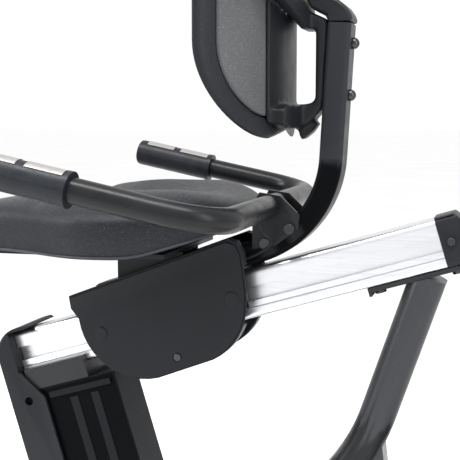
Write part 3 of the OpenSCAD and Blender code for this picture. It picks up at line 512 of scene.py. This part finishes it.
def seat_rings():
    """Rings of the cushion, from the middle of its underside out round its edge to the middle of its top.

    Each pair in lower is a share of the outline and a height over the underside.
    """
    outline = seat_outline()
    rings = [[DATUM + Vector((0, 0, SEAT_LOW))]]
    lower = [(0.25, 0.0), (0.5, 0.0), (0.75, 0.0), (0.90, 0.0), (0.945, 0.0003), (0.956, 0.0015),
             (0.9585, 0.0035), (0.960, 0.0052), (0.966, 0.0080), (0.978, 0.0140), (0.989, 0.0215),
             (0.9965, 0.0290)]
    for reach, lift in lower:
        ring = [(p.x * reach, p.y * reach) for p in outline]
        rings.append([DATUM + Vector((x, y, seat_under(x) + lift)) for x, y in ring])
    steps, power = 26, 2.0 / 2.7
    for k in range(steps):
        turn = math.pi / 2 * k / steps
        reach, lift = math.cos(turn) ** power, math.sin(turn) ** power
        ring = []
        for p in outline:
            x, y = p.x * reach, p.y * reach
            middle = SEAT_MIDDLE + 0.16 * max(0.0, p.x - 0.05)
            ring.append(DATUM + Vector((x, y, middle + (seat_top(x, y) - middle) * lift)))
        rings.append(ring)
    rings.append([DATUM + Vector((0, 0, seat_top(0, 0)))])
    return rings


def make_seat():
    """The cushion, and the piping sewn round the foot of its side."""
    mesh = loft("seat_cushion_form", seat_rings())
    cushion = new_piece("seat_cushion_form", mesh, "carriage", "seat_vinyl", replaces=("seat_cushion",))
    path = []
    for p in seat_outline():
        p = p * PIPING_REACH
        path.append(DATUM + Vector((p.x, p.y, seat_under(p.x) + PIPING_LIFT)))
    new_piece("seat_piping", tube_loop("seat_piping", path, PIPING_RADIUS), "carriage", "seat_vinyl",
              LOOKS["piping"])


# ---------------------------------------------------------------- backrest

BACK_AXIS, BACK_HALF, BACK_LOW, BACK_HIGH = -0.096, 0.185, 0.054, 0.346
BACK_LOW_CORNER, BACK_TOP_CORNER, BACK_SAG = 0.113, 0.085, 0.012
PAD_FRONT, PAD_REAR = 0.2475, 0.2757
PANEL_FRONT, PANEL_REAR = 0.2761, 0.2800


def spread(first, last, count):
    """Points from first up to, but not including, last."""
    return [tuple(a + (b - a) * i / count for a, b in zip(first, last)) for i in range(count)]


def bend(centre, radius, start, end, count):
    """Points on an arc from start up to, but not including, end, in degrees."""
    turns = [math.radians(start + (end - start) * i / count) for i in range(count)]
    return [(centre[0] + radius * math.cos(t), centre[1] + radius * math.sin(t)) for t in turns]


def back_outline(inset):
    """Outline of the backrest seen from behind as (y, z), drawn in by inset."""
    top = BACK_LOW + BACK_HIGH
    low, high = BACK_LOW_CORNER, BACK_TOP_CORNER
    right = spread((0.0, BACK_LOW + BACK_SAG + inset), (BACK_HALF - low, BACK_LOW + inset), 8)
    right += bend((BACK_HALF - low, BACK_LOW + low), low - inset, -90, 0, 22)
    right += spread((BACK_HALF - inset, BACK_LOW + low), (BACK_HALF - inset, top - high), 12)
    right += bend((BACK_HALF - high, top - high), high - inset, 0, 90, 20)
    right += spread((BACK_HALF - high, top - inset), (0.0, top - inset), 10)
    left = [(-y, z) for y, z in reversed(right[1:])]
    return right + [(0.0, top - inset)] + left


def on_back(y, z, radius):
    """Point on the backrest's upright cylinder of this radius."""
    return DATUM + Vector((BACK_AXIS + math.sqrt(radius ** 2 - y ** 2), y, z))


def back_rings(front, edge, rear):
    """Rings of a curved panel: in from its front centre, around its edge and out to its rear centre.

    edge lists (inset, radius) pairs, and front and rear give the radius at a point (y, z).
    """
    centre = BACK_LOW + BACK_HIGH / 2
    inner = back_outline(edge[0][0])
    rings = [[on_back(0.0, centre, front(0.0, centre))]]
    shares = (0.15, 0.3, 0.45, 0.6, 0.7, 0.8, 0.9, 0.96)
    for share in shares:
        ring = [(y * share, centre + (z - centre) * share) for y, z in inner]
        rings.append([on_back(y, z, front(y, z)) for y, z in ring])
    for inset, radius in edge:
        rings.append([on_back(y, z, radius) for y, z in back_outline(inset)])
    outer = back_outline(edge[-1][0])
    for share in reversed(shares):
        ring = [(y * share, centre + (z - centre) * share) for y, z in outer]
        rings.append([on_back(y, z, rear(y, z)) for y, z in ring])
    rings.append([on_back(0.0, centre, rear(0.0, centre))])
    return rings


def pad_front(y, z):
    """Radius of the pad's front face: fuller at the lumbar, with two sewn channels down it."""
    radius = PAD_FRONT - 0.006 * hump(z, 0.13, 0.07) * hump(y, 0.0, 0.12)
    for seam in (-0.078, 0.078):
        radius += 0.0035 * hump(y, seam, 0.0045)
    return radius


def make_backrest():
    """The pad with its rolled rim, and the grooved panel set into the rim's rear.

    Each pair in roll and edge is an inset from the outline and a radius on the upright cylinder.
    """
    roll = [(0.052, 0.2476), (0.044, 0.2492), (0.036, 0.2528), (0.028, 0.2578), (0.020, 0.2632),
            (0.013, 0.2682), (0.007, 0.2722), (0.0025, 0.2752), (0.0004, 0.2772), (0.0, 0.2788),
            (0.0010, 0.2806), (0.0040, 0.2818),
            (0.0085, 0.2822), (0.0140, 0.2820), (0.0190, 0.2812), (0.0225, 0.2800), (0.0247, 0.2784),
            (0.0256, PAD_REAR)]
    mesh = loft("backrest_pad_form", back_rings(pad_front, roll, lambda y, z: PAD_REAR))
    pad = new_piece("backrest_pad_form", mesh, "carriage", "back_vinyl", replaces=("backrest_pad",))

    def panel_rear(y, z):
        return PANEL_REAR - 0.0015 * hump(abs(y), 0.100, 0.006)

    edge = [(0.029, PANEL_FRONT), (0.0272, 0.2764), (0.0270, 0.2775), (0.0272, 0.2790), (0.0282, 0.2798),
            (0.0300, PANEL_REAR)]
    mesh = loft("backrest_shell_form", back_rings(lambda y, z: PANEL_FRONT, edge, panel_rear))
    new_piece("backrest_shell_form", mesh, "carriage", "grey_plastic", replaces=("backrest_shell",))


# ---------------------------------------------------------------- the other parts

POSTS = ("backrest_post", "upright_post")
STRAP_EDGE = 0.0007
SPINE_VOXEL, SPINE_PASSES = 0.0028, 5

# The width that each hard node's edges are rounded to
ROUNDED = {
    "upright_cover": 0.004, "cover_left": 0.0022, "cover_right": 0.0022, "housing_left": 0.004,
    "housing_right": 0.004, "rail_mounts": 0.0015, "rail_end_cap": 0.003, "seat_base": 0.0015,
    "post_cap": 0.004, "pedal_left": 0.003, "pedal_right": 0.003, "console_shell": 0.003,
    "stabilizer_caps": 0.004, "handle_grips": 0.0008, "front_grips": 0.0012, "crank_arm_left": 0.002,
    "crank_arm_right": 0.002, "carriage_frame": 0.0006, "seat_lever": 0.001, "tension_motor": 0.002,
    "button_start": 0.001, "button_up": 0.001, "button_down": 0.001, "flywheel": 0.0008,
    "foot_left": 0.001, "foot_right": 0.001, "wheel_left": 0.002, "wheel_right": 0.002,
    "seat_handlebar": 0.0006, "drive_pulley": 0.0008, "console_mast": 0.0008, "frame_bolts": 0.0006,
    "seat_screws": 0.0004, "upright_post": 0.002, "rear_leg": 0.001, "lock_shoe": 0.001,
}


def make_straps():
    """The foot straps, whose webbing isn't the look of their slot's other parts."""
    for node in ("strap_left", "strap_right"):
        rounded(node, STRAP_EDGE, LOOKS["webbing"])


def look_of(node):
    """A node's look: its slot's, but for the posts, which take a darker and less glossy copy of the frame
    paint as painted shade.
    """
    return LOOKS["shaded_post_paint" if node in POSTS else SLOT_OF[node]]


def dress():
    """Gives every CAD node its look."""
    for name, node in NODES.items():
        node.data.materials.clear()
        node.data.materials.append(look_of(name))


def main():
    make_camera()
    make_studio()
    dress()
    for node, width in ROUNDED.items():
        rounded(node, width, look_of(node))
    moulded("backrest_spine", SPINE_VOXEL, SPINE_PASSES)
    make_straps()
    make_seat()
    make_backrest()


main()
